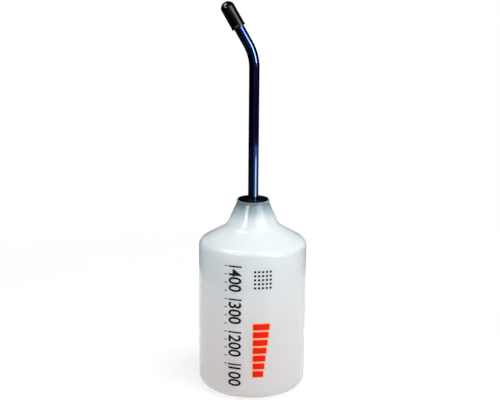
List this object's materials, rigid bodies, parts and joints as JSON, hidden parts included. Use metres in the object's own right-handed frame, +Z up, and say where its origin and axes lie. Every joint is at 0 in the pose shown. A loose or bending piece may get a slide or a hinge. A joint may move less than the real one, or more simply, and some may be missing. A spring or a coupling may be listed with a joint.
{
  "type": "squeeze fuel bottle",
  "caption": "Milky squeeze bottle for refuelling small engines, with a rubber stopper, a long bent blue metal spout and a black cap on its tip.",
  "frame": {"origin": "centre of the base ring, on the surface that the bottle stands on", "axes": "+Z up along the bottle's axis, -X the way the spout's tip leans, -Y the side with the volume scale"},
  "size_m": [0.076, 0.076, 0.2726],
  "materials": {
    "milky_plastic": "natural blown polyethylene, milky and see-through, with a satin sheen",
    "stopper_rubber": "smooth black rubber",
    "blue_anodised_aluminium": "polished and anodised deep blue",
    "cap_rubber": "glossy black rubber"
  },
  "bodies": {
    "bottle": {"bottle": "milky_plastic"},
    "stopper": {"stopper": "stopper_rubber"},
    "spout": {"spout_tube": "blue_anodised_aluminium"},
    "tip_cap": {"tip_cap": "cap_rubber"}
  },
  "joints": [
    {"name": "stopper_pull", "type": "slide", "parent": "bottle", "child": "stopper", "axis": [0, 0, 1], "range_m": [0, 0.03]},
    {"name": "spout_turn", "type": "hinge", "parent": "stopper", "child": "spout", "pos_m": [0, 0, 0.1358], "axis": [0, 0, 1], "continuous": true},
    {"name": "cap_pull", "type": "slide", "parent": "spout", "child": "tip_cap", "axis": [-0.5, 0, 0.866], "range_m": [0, 0.025]}
  ]
}
